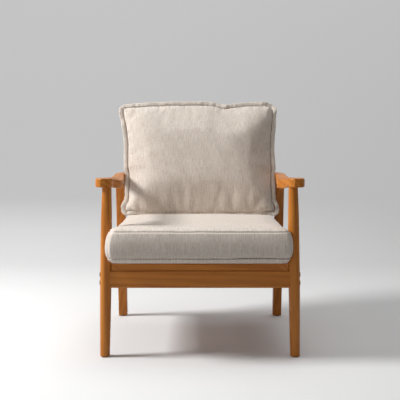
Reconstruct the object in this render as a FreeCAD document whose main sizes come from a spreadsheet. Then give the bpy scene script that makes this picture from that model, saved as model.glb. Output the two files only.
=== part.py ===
import FreeCAD, Part
import os
import math
import Sketcher
from FreeCAD import Placement, Rotation, Vector

# An armchair: a walnut frame with turned front legs, raked rear legs and sculpted arms,
# and a loose seat cushion and a loose back cushion. Lengths in millimetres, angles in degrees.
# X runs to the right, the front faces -Y and Z points up. The origin is on the floor.

# Driving sizes
SIZES = [
    # Front legs, turned
    ("front_leg_y", 300.53),
    ("front_leg_top_x", 301),
    ("front_leg_splay", 0.6),
    ("arm_underside", 547),
    ("front_leg_top_diameter", 30),
    ("front_leg_swell_diameter", 37),
    ("front_leg_foot_diameter", 31.5),
    ("front_leg_swell_height", 250),
    ("leg_tenon_diameter", 18),
    ("leg_tenon_length", 15),
    # Feet
    ("glide_diameter", 22),
    ("glide_height", 3),
    ("joint_clearance", 0.3),
    # Rear legs, rectangular and raked
    ("rear_leg_x", 305.5),
    ("rear_leg_run", 485),
    ("rear_leg_rake", 115),
    ("rear_leg_width", 33),
    ("rear_leg_top_depth", 40),
    ("rear_leg_foot_depth", 34),
    ("rear_leg_edge_radius", 3),
    # Rails
    ("rail_bottom", 223),
    ("rail_height", 54),
    ("front_rail_thickness", 24),
    ("side_rail_thickness", 25),
    ("rail_edge_radius", 2),
    ("rear_rail_run", 490),
    ("rear_rail_thickness", 24),
    ("block_leg", 62),
    ("block_leg_clearance", 14),
    ("block_height", 46),
    # Seat frame and slats
    ("seat_board_thickness", 23),
    ("seat_board_width", 30),
    ("seat_end_board_width", 46),
    ("seat_frame_side_gap", 4),
    ("seat_frame_setback", 4),
    ("ledger_width", 14),
    ("seat_slat_thickness", 11),
    ("seat_slat_width", 44),
    # Back frame
    ("back_lean", 13),
    ("right_angle", 90),
    ("back_post_outer_x", 272),
    ("back_post_width", 28),
    ("back_post_depth", 25),
    ("back_post_length", 606),
    ("back_rail_thickness", 14),
    ("back_top_rail_height", 60),
    ("back_bottom_rail_height", 45),
    ("back_bottom_rail_place", 210),
    ("back_slat_height", 38),
    # Bolts
    ("cap_diameter", 15),
    ("cap_height", 3.4),
    ("cap_sink", 2.4),
    ("arm_cap_sink", 0.9),
    ("bolt_diameter", 8),
    ("leg_bolt_length", 62),
    ("leg_bolt_upper_height", 265),
    ("leg_bolt_lower_height", 238),
    ("frame_bolt_length", 46),
    ("rail_bolt_place", 27),
    ("arm_bolt_height", 556),
    # Arms
    ("arm_front_overhang", 31),
    ("arm_tail_overhang", 30.8),
    ("paddle_width", 56),
    ("paddle_outset", 9.5),
    ("waist_width", 37),
    ("waist_inset", 20),
    ("arm_thickness", 28),
    ("arm_tail_thickness", 24.5),
    ("arm_edge_radius", 4),
    ("arm_twist_drop", 13),
    ("tail_width", 27),
    # Seat cushion
    ("seat_cushion_clearance", 0.5),
    ("seat_cushion_front_overhang", 73),
    ("seat_cushion_rear_run", 520),
    ("seat_cushion_front_leg_gap", 0.5),
    ("seat_cushion_rear_leg_gap", 7),
    ("seat_cushion_ear", 12),
    ("seat_cushion_ear_depth", 28),
    ("seat_cushion_height", 118.5),
    ("seat_cushion_corner_radius", 18),
    # Back cushion
    ("back_cushion_clearance", 0.5),
    ("back_cushion_thickness", 136),
    ("back_cushion_height", 432),
    ("back_cushion_bottom_half_width", 291),
    ("back_cushion_waist_half_width", 284),
    ("back_cushion_top_half_width", 308),
    ("back_cushion_corner_radius", 26),
    ("back_cushion_top_crown", 7),
    ("back_cushion_bottom_crown", 2),
    ("border_thickness", 7),
    ("border_place", 98),
    # Cloth
    ("cover_thickness", 1.6),
]

document = FreeCAD.newDocument("Armchair")
sheet = document.addObject("Spreadsheet::Sheet", "Sizes")
for row, (alias, number) in enumerate(SIZES, start=1):
    sheet.set("A%d" % row, alias)
    sheet.set("B%d" % row, str(number))
    sheet.setAlias("B%d" % row, alias)
document.recompute()


def size(alias):
    return float(getattr(sheet, alias))


ALIASES = {alias for alias, number in SIZES}


def named(text):
    """Put the sheet's name before each alias in an expression."""
    words = []
    word = ""
    for letter in text + " ":
        if letter.isalnum() or letter == "_":
            word += letter
            continue
        words.append("Sizes." + word if word in ALIASES else word)
        words.append(letter)
        word = ""
    return "".join(words).strip()


def number_of(text):
    value = sheet.evalExpression(named(text))
    return float(getattr(value, "Value", value))


NODES = []


def keep(item, label):
    item.Label = label
    NODES.append(item)
    return item


def place(item, x="0", y="0", z="0", axis=None, angle=None):
    """Bind where a piece stands, and how far it turns about one axis."""
    if axis is not None:
        item.Placement = Placement(Vector(0, 0, 0), Rotation(axis, 1))
        item.setExpression("Placement.Rotation.Angle", "(" + named(angle) + ") * 1deg")
    for name, text in (("x", x), ("y", y), ("z", z)):
        item.setExpression("Placement.Base." + name, "(" + named(text) + ") * 1mm")


def board(label, length, width, height, x="0", y="0", z="0", axis=None, angle=None):
    """A plain board, with its own corner as its reference point."""
    box = document.addObject("Part::Box", label + "_board")
    box.setExpression("Length", named(length))
    box.setExpression("Width", named(width))
    box.setExpression("Height", named(height))
    place(box, x, y, z, axis, angle)
    return box


def rod(label, diameter, length, x="0", y="0", z="0", axis=None, angle=None):
    cylinder = document.addObject("Part::Cylinder", label + "_rod")
    cylinder.setExpression("Radius", named("(" + diameter + ") / 2"))
    cylinder.setExpression("Height", named(length))
    place(cylinder, x, y, z, axis, angle)
    return cylinder


def cut(label, base, *tools):
    """Cut one or several pieces out of a base."""
    result = base
    for count, tool in enumerate(tools):
        step = document.addObject("Part::Cut", "%s_cut_%d" % (label, count))
        step.Base = result
        step.Tool = tool
        result = step
    document.recompute()
    return result


def fuse(label, *items):
    joined = document.addObject("Part::MultiFuse", label + "_fuse")
    joined.Shapes = list(items)
    joined.Refine = True
    document.recompute()
    return joined


def sketch_on(body, role, name, corners):
    """A closed outline through corners whose places are bound to the sheet."""
    plane = next(item for item in body.Origin.OriginFeatures if item.Role == role)
    sketch = body.newObject("Sketcher::SketchObject", name)
    sketch.AttachmentSupport = [(plane, "")]
    sketch.MapMode = "FlatFace"
    spots = [Vector(number_of(across), number_of(up), 0) for across, up in corners]
    total = len(spots)
    for index, spot in enumerate(spots):
        sketch.addGeometry(Part.LineSegment(spot, spots[(index + 1) % total]), False)
    for index in range(total):
        sketch.addConstraint(Sketcher.Constraint("Coincident", index, 2, (index + 1) % total, 1))
    for index, (across, up) in enumerate(corners):
        for kind, text, number in (("DistanceX", across, spots[index].x), ("DistanceY", up, spots[index].y)):
            if text == "0":
                flat = "PointOnObject"
                axis = -2 if kind == "DistanceX" else -1
                sketch.addConstraint(Sketcher.Constraint(flat, index, 1, axis))
                continue
            at = sketch.addConstraint(Sketcher.Constraint(kind, -1, 1, index, 1, number))
            sketch.setExpression("Constraints[%d]" % at, named(text))
    document.recompute()
    return sketch


def new_body(label):
    return document.addObject("PartDesign::Body", label + "_body")


def pad(body, sketch, length, both_ways=False):
    feature = body.newObject("PartDesign::Pad", sketch.Name + "_pad")
    feature.Profile = sketch
    feature.setExpression("Length", named(length))
    feature.Midplane = both_ways
    document.recompute()
    return feature


def round_edges(body, feature, radius, chosen):
    names = []
    for index, edge in enumerate(feature.Shape.Edges, start=1):
        if chosen(edge):
            names.append("Edge%d" % index)
    fillet = body.newObject("PartDesign::Fillet", feature.Name + "_fillet")
    fillet.Base = (feature, names)
    fillet.setExpression("Radius", named(radius))
    document.recompute()
    return fillet


X_AXIS = Vector(1, 0, 0)
SIDES = (("left", -1), ("right", 1))

# Front legs: a turned profile that swells at the seat rail, with a round tenon for the arm
LEG_FOOT_X = "(front_leg_top_x + (arm_underside - glide_height) * tan(front_leg_splay * 1deg))"
LEG_LENGTH = "((arm_underside - glide_height - 2.5 * joint_clearance) / cos(front_leg_splay * 1deg))"
front_legs = {}
for side, sign in SIDES:
    label = "front_leg_" + side
    body = new_body(label)
    profile = [
        ("0", "0"),
        ("front_leg_foot_diameter / 2", "0"),
        ("front_leg_foot_diameter / 2 + (front_leg_swell_diameter - front_leg_foot_diameter) * 0.36",
         "front_leg_swell_height * 0.62"),
        ("front_leg_swell_diameter / 2", "front_leg_swell_height - rail_height / 2"),
        ("front_leg_swell_diameter / 2", "front_leg_swell_height + rail_height / 2"),
        ("front_leg_top_diameter / 2 + (front_leg_swell_diameter - front_leg_top_diameter) * 0.48",
         "front_leg_swell_height * 0.65 + arm_underside * 0.35"),
        ("front_leg_top_diameter / 2 + (front_leg_swell_diameter - front_leg_top_diameter) * 0.36",
         "front_leg_swell_height * 0.3 + arm_underside * 0.7"),
        ("front_leg_top_diameter / 2", LEG_LENGTH),
        ("leg_tenon_diameter / 2", LEG_LENGTH),
        ("leg_tenon_diameter / 2", LEG_LENGTH + " + leg_tenon_length"),
        ("0", LEG_LENGTH + " + leg_tenon_length"),
    ]
    sketch = sketch_on(body, "XZ_Plane", label + "_profile", profile)
    turned = body.newObject("PartDesign::Revolution", label + "_turned")
    turned.Profile = sketch
    turned.ReferenceAxis = (sketch, ["V_Axis"])
    turned.Angle = 360
    document.recompute()
    place(body, "%d * %s" % (sign, LEG_FOOT_X), "-front_leg_y", "glide_height + joint_clearance",
          Vector(0, -sign, 0), "front_leg_splay")
    front_legs[side] = keep(body, label)

# Rear legs: a raked board that tapers down and meets the arm from below
REAR_TOP = "(arm_underside - joint_clearance)"
REAR_FOOT = "(glide_height + joint_clearance)"
REAR_TOP_Y = "(rear_leg_run - front_leg_y)"
REAR_FOOT_Y = "(" + REAR_TOP_Y + " + rear_leg_rake)"
rear_legs = {}
for side, sign in SIDES:
    label = "rear_leg_" + side
    body = new_body(label)
    profile = [
        (REAR_FOOT_Y + " - rear_leg_foot_depth / 2", REAR_FOOT),
        (REAR_FOOT_Y + " + rear_leg_foot_depth / 2", REAR_FOOT),
        (REAR_TOP_Y + " + rear_leg_top_depth / 2", REAR_TOP),
        (REAR_TOP_Y + " - rear_leg_top_depth / 2", REAR_TOP),
    ]
    sketch = sketch_on(body, "YZ_Plane", label + "_profile", profile)
    padded = pad(body, sketch, "rear_leg_width", both_ways=True)
    round_edges(body, padded, "rear_leg_edge_radius",
                lambda edge: edge.BoundBox.ZLength > size("rail_height"))
    place(body, "%d * rear_leg_x" % sign)
    rear_legs[side] = keep(body, label)

# Foot glides: a flat disc under each leg
for side, sign in SIDES:
    for end, x, y in (("front", LEG_FOOT_X, "-front_leg_y"), ("rear", "rear_leg_x", REAR_FOOT_Y)):
        label = "foot_glide_%s_%s" % (end, side)
        glide = rod(label, "glide_diameter", "glide_height", "%d * %s" % (sign, x), y)
        keep(glide, label)

# Rails under the seat; their ends are scribed to the legs
RAIL_TOP = "(rail_bottom + rail_height)"
RAIL_INNER_X = "(rear_leg_x - rear_leg_width / 2)"


def eased_board(label, length, width, height, along, radius="rail_edge_radius"):
    """A board with its long edges eased, sketched on its end and padded along X or Y."""
    body = new_body(label)
    role = "YZ_Plane" if along == "X" else "XZ_Plane"
    across = width if along == "X" else length
    run = length if along == "X" else width
    corners = [("0", "0"), (across, "0"), (across, height), ("0", height)]
    sketch = sketch_on(body, role, label + "_end", corners)
    padded = pad(body, sketch, run)
    if along == "Y":
        padded.Reversed = True
        document.recompute()
    long_edges = number_of(run) * 0.9
    round_edges(body, padded, radius, lambda edge: edge.Length > long_edges)
    return body


front_board = eased_board("front_rail", "2 * front_leg_top_x", "front_rail_thickness", "rail_height", "X")
place(front_board, "-front_leg_top_x", "-front_leg_y - front_rail_thickness / 2", "rail_bottom")
front_rail = cut("front_rail", front_board, front_legs["left"], front_legs["right"])
keep(front_rail, "front_rail")

SIDE_RAIL_RUN = "(rear_leg_run + rear_leg_rake * (arm_underside - rail_bottom - rail_height / 2) / arm_underside)"
side_rails = {}
for side, sign in SIDES:
    label = "side_rail_" + side
    rail = eased_board(label, "side_rail_thickness", SIDE_RAIL_RUN, "rail_height", "Y")
    inner = RAIL_INNER_X if sign > 0 else "-" + RAIL_INNER_X + " - side_rail_thickness"
    place(rail, inner, "-front_leg_y", "rail_bottom")
    scribed = cut(label, rail, front_legs[side], rear_legs[side], front_rail)
    side_rails[side] = keep(scribed, label)

# The rear rail leans with the back; its top arris reaches the seat frame
REAR_RAIL_Y = "(rear_rail_run - front_leg_y)"
REAR_RAIL_Z = "(" + RAIL_TOP + " - rail_height * cos(back_lean * 1deg))"
rear_rail = eased_board("rear_rail", "2 * " + RAIL_INNER_X, "rear_rail_thickness", "rail_height", "X")
place(rear_rail, "-" + RAIL_INNER_X, REAR_RAIL_Y, REAR_RAIL_Z, Vector(-1, 0, 0), "back_lean")
keep(rear_rail, "rear_rail")

# Corner blocks in the four corners of the rails
FRONT_INNER_Y = "(front_rail_thickness / 2 - front_leg_y)"
REAR_INNER_Y = "(" + REAR_RAIL_Y + " - joint_clearance)"
for side, sign in SIDES:
    for end, wall, way in (("front", FRONT_INNER_Y, 1), ("rear", REAR_INNER_Y, -1)):
        label = "corner_block_%s_%s" % (end, side)
        body = new_body(label)
        step = "%+d * " % way
        corners = [
            ("%d * (%s - block_leg)" % (sign, RAIL_INNER_X), wall),
            ("%d * (%s - block_leg_clearance)" % (sign, RAIL_INNER_X), wall),
            ("%d * %s" % (sign, RAIL_INNER_X), "%s %s block_leg_clearance" % (wall, step)),
            ("%d * %s" % (sign, RAIL_INNER_X), "%s %s block_leg" % (wall, step)),
        ]
        sketch = sketch_on(body, "XY_Plane", label + "_plan", corners)
        pad(body, sketch, "block_height")
        place(body, z="rail_bottom + (rail_height - block_height) / 2")
        keep(body, label)

# Seat frame: two side members with a front and a rear member butted between them
FRAME_OUTER_X = "(" + RAIL_INNER_X + " - seat_frame_side_gap)"
FRAME_INNER_X = "(" + FRAME_OUTER_X + " - seat_board_width)"
FRAME_FRONT_Y = "(seat_frame_setback - front_rail_thickness / 2 - front_leg_y)"
FRAME_REAR_Y = "(" + REAR_RAIL_Y + " + rear_rail_thickness + seat_frame_setback)"
FRAME_RUN = "(" + FRAME_REAR_Y + " - " + FRAME_FRONT_Y + ")"
for side, sign in SIDES:
    label = "seat_frame_side_" + side
    member = eased_board(label, "seat_board_width", FRAME_RUN, "seat_board_thickness", "Y")
    place(member, FRAME_INNER_X if sign > 0 else "-" + FRAME_OUTER_X, FRAME_FRONT_Y, RAIL_TOP)
    keep(member, label)
for end, y in (("front", FRAME_FRONT_Y), ("rear", FRAME_REAR_Y + " - seat_end_board_width")):
    label = "seat_frame_" + end
    member = eased_board(label, "2 * " + FRAME_INNER_X, "seat_end_board_width", "seat_board_thickness", "X")
    place(member, "-" + FRAME_INNER_X, y, RAIL_TOP)
    keep(member, label)

# Ledgers inside the side members carry the slats
LEDGER_FRONT_Y = "(" + FRAME_FRONT_Y + " + seat_end_board_width)"
LEDGER_RUN = "(" + FRAME_RUN + " - 2 * seat_end_board_width)"
LEDGER_HEIGHT = "(seat_board_thickness - seat_slat_thickness)"
for side, sign in SIDES:
    label = "seat_ledger_" + side
    ledger = board(label, "ledger_width", LEDGER_RUN, LEDGER_HEIGHT,
                   FRAME_INNER_X + " - ledger_width" if sign > 0 else "-" + FRAME_INNER_X,
                   LEDGER_FRONT_Y, RAIL_TOP)
    keep(ledger, label)

SEAT_SLAT_COUNT = 6
for count in range(SEAT_SLAT_COUNT):
    label = "seat_slat_%d" % (count + 1)
    gap = "((%s - %d * seat_slat_width) / %d)" % (LEDGER_RUN, SEAT_SLAT_COUNT, SEAT_SLAT_COUNT + 1)
    slat = eased_board(label, "2 * " + FRAME_INNER_X, "seat_slat_width", "seat_slat_thickness", "X")
    place(slat, "-" + FRAME_INNER_X,
          "%s + %d * (%s + seat_slat_width) + %s" % (LEDGER_FRONT_Y, count, gap, gap),
          RAIL_TOP + " + " + LEDGER_HEIGHT)
    keep(slat, label)

# Back frame: two posts bolted to the rear rail, joined by rails and slats, all leaning alike.
# A place on it is given by its rise along the lean and its step back square to the lean.


def leaning(rise, back):
    y = "(%s + (%s) * sin(back_lean * 1deg) + (%s) * cos(back_lean * 1deg))" % (REAR_RAIL_Y, rise, back)
    z = "(%s + (%s) * cos(back_lean * 1deg) - (%s) * sin(back_lean * 1deg))" % (REAR_RAIL_Z, rise, back)
    return y, z


POST_BACK = "rear_rail_thickness"
LEAN_AXIS = Vector(-1, 0, 0)
POST_INNER_X = "(back_post_outer_x - back_post_width)"
posts = {}
for side, sign in SIDES:
    label = "back_post_" + side
    body = new_body(label)
    corners = [("0", "0"), ("back_post_width", "0"), ("back_post_width", "back_post_depth"),
               ("0", "back_post_depth")]
    sketch = sketch_on(body, "XY_Plane", label + "_end", corners)
    padded = pad(body, sketch, "back_post_length")
    long_edges = size("back_post_length") * 0.9
    round_edges(body, padded, "rail_edge_radius", lambda edge: edge.Length > long_edges)
    y, z = leaning("0", POST_BACK)
    place(body, POST_INNER_X if sign > 0 else "-back_post_outer_x", y, z, LEAN_AXIS, "back_lean")
    posts[side] = keep(body, label)

BACK_RISE = "(back_post_length - back_top_rail_height - back_bottom_rail_place)"
BACK_SLAT_COUNT = 3
back_boards = [
    ("back_top_rail", "back_top_rail_height", "back_post_length - back_top_rail_height"),
    ("back_bottom_rail", "back_bottom_rail_height", "back_bottom_rail_place"),
]
for count in range(BACK_SLAT_COUNT):
    gap = "((%s - back_bottom_rail_height - %d * back_slat_height) / %d)" % (
        BACK_RISE, BACK_SLAT_COUNT, BACK_SLAT_COUNT + 1)
    rise = "back_bottom_rail_place + back_bottom_rail_height + %d * (%s + back_slat_height) + %s" % (
        count, gap, gap)
    back_boards.append(("back_slat_%d" % (count + 1), "back_slat_height", rise))
for label, height, rise in back_boards:
    member = eased_board(label, "2 * " + POST_INNER_X, "back_rail_thickness", height, "X")
    y, z = leaning(rise, POST_BACK)
    place(member, "-" + POST_INNER_X, y, z, LEAN_AXIS, "back_lean")
    keep(member, label)


# Arms: a paddle at the front, a waist, and a tail that reaches the back post
def rounded_wire(points, radii):
    """A closed wire of straight runs with a round corner of its own radius at each point."""
    count = len(points)
    edges = []
    joints = []
    for index in range(count):
        corner = points[index]
        radius = radii[index]
        before = (points[index - 1] - corner).normalize()
        after = (points[(index + 1) % count] - corner).normalize()
        opening = before.getAngle(after)
        reach = radius / math.tan(opening / 2)
        middle = (before + after).normalize()
        centre = corner + middle * (radius / math.sin(opening / 2))
        joints.append((corner + before * reach, centre - middle * radius, corner + after * reach))
    for index in range(count):
        first, middle, last = joints[index]
        edges.append(Part.Arc(first, middle, last).toShape())
        edges.append(Part.LineSegment(last, joints[(index + 1) % count][0]).toShape())
    return Part.Wire(edges)


leg_x = size("front_leg_top_x")
heel_x = size("rear_leg_x")
post_x = size("back_post_outer_x")
paddle_x = leg_x + size("paddle_outset")
waist_x = leg_x - size("waist_inset")
tail_x = post_x + size("tail_width") / 2 + size("joint_clearance")
paddle = size("paddle_width")
waist = size("waist_width")
heel = size("rear_leg_width")
tail = size("tail_width")
middle_x = (waist_x + heel_x) / 2
# Along the arm: share of its length, centre, width, share of the twist, share of the corner
# radius, share of the way from the paddle's thickness to the tail's
ARM_STATIONS = [
    (0.000, paddle_x, paddle * 0.26, 0.0, 0.80, 0.0),
    (0.005, paddle_x, paddle * 0.46, 0.0, 0.90, 0.0),
    (0.015, paddle_x, paddle * 0.71, 0.0, 1.00, 0.0),
    (0.031, paddle_x, paddle * 0.91, 0.0, 1.00, 0.0),
    (0.054, paddle_x, paddle * 1.00, 0.0, 1.00, 0.0),
    (0.090, paddle_x + paddle * 0.03, paddle * 0.93, 0.1, 1.00, 0.0),
    (0.130, paddle_x - paddle * 0.03, paddle * 0.81, 0.4, 1.00, 0.1),
    (0.180, (paddle_x + waist_x) / 2 - paddle * 0.04, (paddle + waist) * 0.44, 0.85, 1.00, 0.2),
    (0.235, waist_x, waist, 1.0, 1.00, 0.3),
    (0.340, waist_x + (middle_x - waist_x) * 0.45, waist, 1.0, 1.00, 0.5),
    (0.500, middle_x, waist * 0.97, 0.75, 1.00, 0.8),
    (0.640, middle_x + (heel_x - middle_x) * 0.72, (waist + heel) / 2, 0.3, 1.00, 1.0),
    (0.730, heel_x - (heel_x - middle_x) * 0.04, heel * 1.01, 0.0, 1.00, 1.0),
    (0.805, heel_x - (heel_x - tail_x) * 0.22, heel, 0.0, 1.00, 1.0),
    (0.870, heel_x - (heel_x - tail_x) * 0.74, heel * 0.93, 0.0, 1.00, 1.0),
    (0.930, tail_x, tail, 0.0, 1.00, 1.0),
    (1.000, tail_x, tail, 0.0, 0.80, 1.0),
]
ARM_BOLT_RISE = "((arm_bolt_height - %s) / cos(back_lean * 1deg))" % REAR_RAIL_Z
ARM_BOLT_Y, ARM_BOLT_Z = leaning(ARM_BOLT_RISE, POST_BACK + " + back_post_depth / 2")
arm_start = -size("front_leg_y") - size("arm_front_overhang")
arm_end = number_of(ARM_BOLT_Y) + size("arm_tail_overhang")


def arm_section(share, centre, width, twist, rounding, thinning, sign):
    y = arm_start + share * (arm_end - arm_start)
    bottom = size("arm_underside")
    thickness = size("arm_thickness")
    top = bottom + thickness + thinning * (size("arm_tail_thickness") - thickness)
    drop = twist * size("arm_twist_drop")
    inner = centre - width / 2
    outer = centre + width / 2
    corners = [
        Vector(sign * inner, y, bottom - drop),
        Vector(sign * outer, y, bottom),
        Vector(sign * outer, y, top),
        Vector(sign * inner, y, top - drop * 0.8),
    ]
    return rounded_wire(corners, [rounding * size("arm_edge_radius")] * len(corners))


def solid_from(wires, straight=False):
    solid = Part.makeLoft(wires, True, straight)
    if solid.Volume < 0:
        solid.reverse()
    return solid


def feature(label, shape):
    item = document.addObject("Part::Feature", label)
    item.Shape = shape
    item.Placement = Placement()
    return item


arms = {}
for side, sign in SIDES:
    label = "arm_" + side
    blank = solid_from([arm_section(*station, sign) for station in ARM_STATIONS])
    raw = feature(label + "_blank", blank)
    arms[side] = keep(cut(label, raw, front_legs[side]), label)


# Bolts: two with round caps through each front leg into the side rail, one through each arm
# tail into the back post, and one through each post into the rear rail
def capped_bolt(label, length, x, y, z, axis, angle):
    cap = rod(label + "_cap", "cap_diameter", "cap_height", z="-cap_height")
    shank = rod(label + "_shank", "bolt_diameter", length)
    joined = fuse(label, cap, shank)
    place(joined, x, y, z, axis, angle)
    document.recompute()
    return joined


bolts = {}
SWELL_X = "(%s - (front_leg_swell_height - glide_height) * tan(front_leg_splay * 1deg))" % LEG_FOOT_X
for side, sign in SIDES:
    for level in ("upper", "lower"):
        label = "leg_bolt_%s_%s" % (level, side)
        face = "%d * (%s + front_leg_swell_diameter / 2 - cap_sink)" % (sign, SWELL_X)
        bolts[label] = capped_bolt(label, "leg_bolt_length", face, "-front_leg_y",
                                   "leg_bolt_%s_height" % level, Vector(0, -sign, 0), "right_angle")
        keep(bolts[label], label)
    label = "arm_bolt_" + side
    face = "%d * (back_post_outer_x + tail_width - arm_cap_sink)" % sign
    bolts[label] = capped_bolt(label, "frame_bolt_length", face, ARM_BOLT_Y, ARM_BOLT_Z, Vector(0, -sign, 0), "right_angle")
    keep(bolts[label], label)
    label = "rail_bolt_" + side
    y, z = leaning("rail_bolt_place", POST_BACK + " + back_post_depth")
    middle = "%d * (back_post_outer_x - back_post_width / 2)" % sign
    bolts[label] = capped_bolt(label, "frame_bolt_length * 0.9", middle, y, z, LEAN_AXIS, "back_lean - right_angle")
    keep(bolts[label], label)


def drill(label, *tools):
    """Cut the bolts out of a piece that is already kept."""
    index = next(at for at, item in enumerate(NODES) if item.Label == label)
    whole = NODES[index]
    whole.Label = label + "_whole"
    drilled = cut(label + "_drilled", whole, *tools)
    drilled.Label = label
    NODES[index] = drilled
    return drilled


leg_bolts = {}
for side, sign in SIDES:
    leg_bolts[side] = [bolts["leg_bolt_upper_" + side], bolts["leg_bolt_lower_" + side]]
    drill("front_leg_" + side, *leg_bolts[side])
    drill("arm_" + side, bolts["arm_bolt_" + side])
    drill("back_post_" + side, bolts["arm_bolt_" + side], bolts["rail_bolt_" + side])
drill("front_rail", *leg_bolts["left"], *leg_bolts["right"])
drill("rear_rail", bolts["rail_bolt_left"], bolts["rail_bolt_right"])

# Seat cushion: boxed, crowned on top and drawn in at the sides, with ears in front of the legs
seat_bottom = number_of(RAIL_TOP + " + seat_board_thickness + seat_cushion_clearance")
seat_height = size("seat_cushion_height")
# It fits between the front legs' swell and between the rear legs, whichever pair leaves less room
seat_half = min(
    number_of("front_leg_top_x - front_leg_swell_diameter / 2 - seat_cushion_front_leg_gap"),
    number_of(RAIL_INNER_X + " - seat_cushion_rear_leg_gap"),
)
# Share of the height, and how far the outline draws in as a share of the height
SEAT_STATION_SHARES = [
    (0.00, 0.34),
    (0.04, 0.15),
    (0.20, 0.03),
    (0.55, 0.00),
    (0.92, 0.03),
    (0.962, 0.17),
    (0.985, 0.40),
    (1.00, 0.85),
]


def seat_outline(level, inset):
    front = -size("front_leg_y") - size("seat_cushion_front_overhang")
    rear = size("seat_cushion_rear_run") - size("front_leg_y")
    ear_rear = front + size("seat_cushion_ear_depth")
    ear_half = seat_half + size("seat_cushion_ear")
    neck = ear_rear + size("seat_cushion_ear") * 1.2
    right = [
        (ear_half - inset, front + inset),
        (ear_half - inset, ear_rear + inset),
        (seat_half - inset, neck + inset),
        (seat_half - inset, rear - inset),
    ]
    spots = right + [(-across, along) for across, along in reversed(right)]
    radius = size("seat_cushion_corner_radius")
    radii = [radius, radius * 0.6, radius * 0.6, radius]
    return rounded_wire([Vector(across, along, level) for across, along in spots], radii + radii[::-1])


def seat_solid(skin):
    wires = []
    for rise, draw in SEAT_STATION_SHARES:
        level = seat_bottom + skin + rise * (seat_height - 2 * skin)
        wires.append(seat_outline(level, draw * seat_height + skin))
    return solid_from(wires, straight=True)


cloth = size("cover_thickness")
seat_foam = seat_solid(cloth)
keep(feature("seat_cushion_foam_shape", seat_foam), "seat_cushion_foam")
keep(feature("seat_cushion_cover_shape", seat_solid(0).cut(seat_foam)), "seat_cushion_cover")

# Back cushion: leans on the back frame, stands on the seat cushion, drawn in at the waist
lean = math.radians(size("back_lean"))
lean_origin = Vector(0, number_of(REAR_RAIL_Y), number_of(REAR_RAIL_Z))
lean_up = Vector(0, math.sin(lean), math.cos(lean))
lean_back = Vector(0, math.cos(lean), -math.sin(lean))
back_rear = size("rear_rail_thickness") - size("back_cushion_clearance")
back_front = back_rear - size("back_cushion_thickness")
rest_level = seat_bottom + seat_height + size("seat_cushion_clearance")
border_front = back_rear - size("back_cushion_thickness") + (
    size("back_cushion_thickness") - size("border_place")) / 2
border_rear = border_front + size("border_thickness")
# The hem lowers by this share of the drawing-in, and the waist is this far up the cushion
HEM_FOLLOW_SHARE = 0.6
WAIST_RISE_SHARE = 0.42
# Share of the thickness from the front, and the drawing-in as a share of the thickness
BACK_STATION_SHARES = [
    (0.00, 0.80),
    (0.02, 0.44),
    (0.06, 0.22),
    (0.15, 0.10),
    (0.40, 0.06),
    (0.72, 0.11),
    (0.90, 0.21),
    (0.97, 0.33),
    (1.00, 0.55),
]


def rise_of_seat(back):
    return (rest_level - lean_origin.z) / math.cos(lean) + back * math.tan(lean)


back_top = rise_of_seat(border_rear) + size("back_cushion_height")


def back_outline(back, inset, lowest):
    """The cushion's outline in the plane that lies this far back along the lean."""
    bottom = lowest + inset
    top = back_top - inset
    waist = bottom + (top - bottom) * WAIST_RISE_SHARE
    right = [
        (size("back_cushion_bottom_half_width") - inset, bottom),
        (size("back_cushion_waist_half_width") - inset, waist),
        (size("back_cushion_top_half_width") - inset, top),
    ]
    crown = (0, top + size("back_cushion_top_crown"))
    hem = (0, bottom - size("back_cushion_bottom_crown"))
    spots = right + [crown] + [(-across, rise) for across, rise in reversed(right)] + [hem]
    radius = size("back_cushion_corner_radius")
    wide = size("back_cushion_height")
    radii = [radius, wide, radius, wide * 2, radius, wide, radius, wide * 2]
    points = []
    for across, rise in spots:
        points.append(lean_origin + X_AXIS * across + lean_up * rise + lean_back * back)
    return rounded_wire(points, radii)


def back_solid(skin):
    wires = []
    hem = size("back_cushion_bottom_crown")
    thick = size("back_cushion_thickness")
    for share, draw in BACK_STATION_SHARES:
        back = back_front + skin + share * (thick - 2 * skin)
        # The hem follows the seat, so the drawing-in starts from the seat's own rise there
        lowest = rise_of_seat(back) + hem - draw * thick * HEM_FOLLOW_SHARE
        wires.append(back_outline(back, draw * thick + skin, lowest))
    return solid_from(wires, straight=True)


back_fill = back_solid(cloth)
back_whole = back_solid(0)
keep(feature("back_cushion_fill_shape", back_fill), "back_cushion_fill")
keep(feature("back_cushion_cover_shape", back_whole.cut(back_fill)), "back_cushion_cover")
border_wire = back_outline(border_front, 0, rise_of_seat(border_rear) + size("back_cushion_bottom_crown"))
border = Part.Face(border_wire).extrude(lean_back * size("border_thickness")).cut(back_whole)
keep(feature("back_cushion_border_shape", border), "back_cushion_border")

# Every object is checked before anything is written
document.recompute()
for item in document.Objects:
    if "Invalid" in item.State or "Error" in item.State:
        raise RuntimeError("%s did not build: %s" % (item.Label, item.State))
for node in NODES:
    if node.Shape.isNull() or not node.Shape.isValid() or not node.Shape.Solids:
        raise RuntimeError(node.Label + " has no valid solid")

os.makedirs("parts", exist_ok=True)
for node in NODES:
    node.Shape.exportStep("parts/%s.step" % node.Label)
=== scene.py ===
import math
import bpy
import bmesh
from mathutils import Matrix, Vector, noise
from mathutils.kdtree import KDTree


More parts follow.
